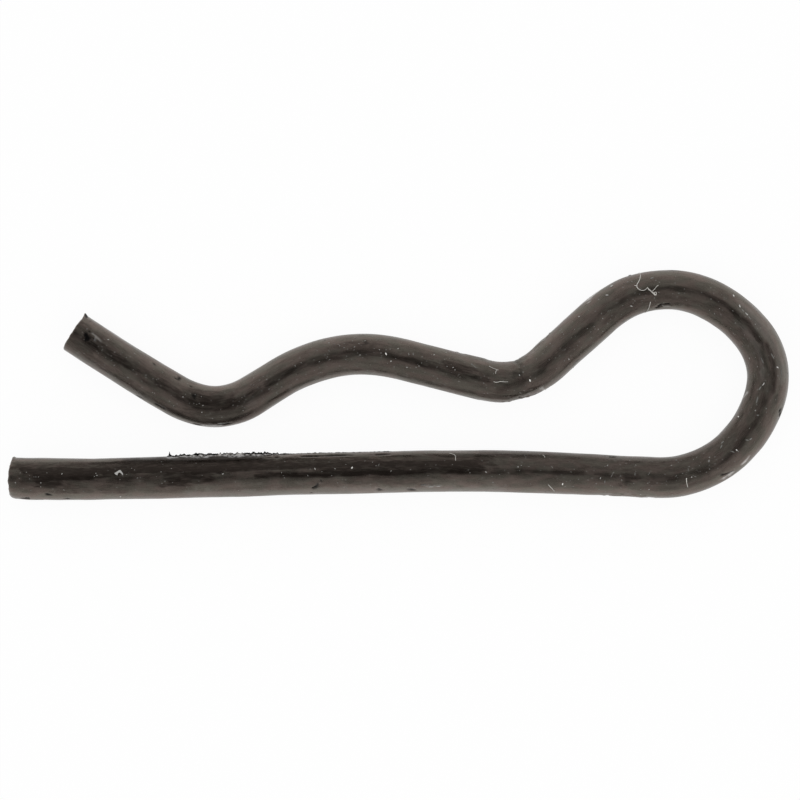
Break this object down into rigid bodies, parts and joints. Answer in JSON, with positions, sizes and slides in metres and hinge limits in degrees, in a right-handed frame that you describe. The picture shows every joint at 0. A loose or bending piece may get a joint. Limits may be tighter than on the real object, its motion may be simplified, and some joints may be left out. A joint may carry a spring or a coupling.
{
  "type": "internal cotter pin",
  "caption": "Hairpin cotter of round spring wire: a straight leg for a shaft's cross hole, a waved leg that snaps over the shaft, and a rounded eye to pull it by.",
  "frame": {"origin": "on the straight leg's axis, where the axis of the locked shaft crosses it, under the crest of the wave", "axes": "+X along the straight leg towards the eye, +Y from the straight leg towards the waved leg, +Z along the locked shaft and square to the plane of the wire, up as the pin lies flat"},
  "size_m": [0.0356, 0.0103, 0.0018],
  "materials": {
    "blackened_wire": "satin black-brown"
  },
  "bodies": {
    "root": {"cotter_pin": "blackened_wire"}
  },
  "joints": []
}
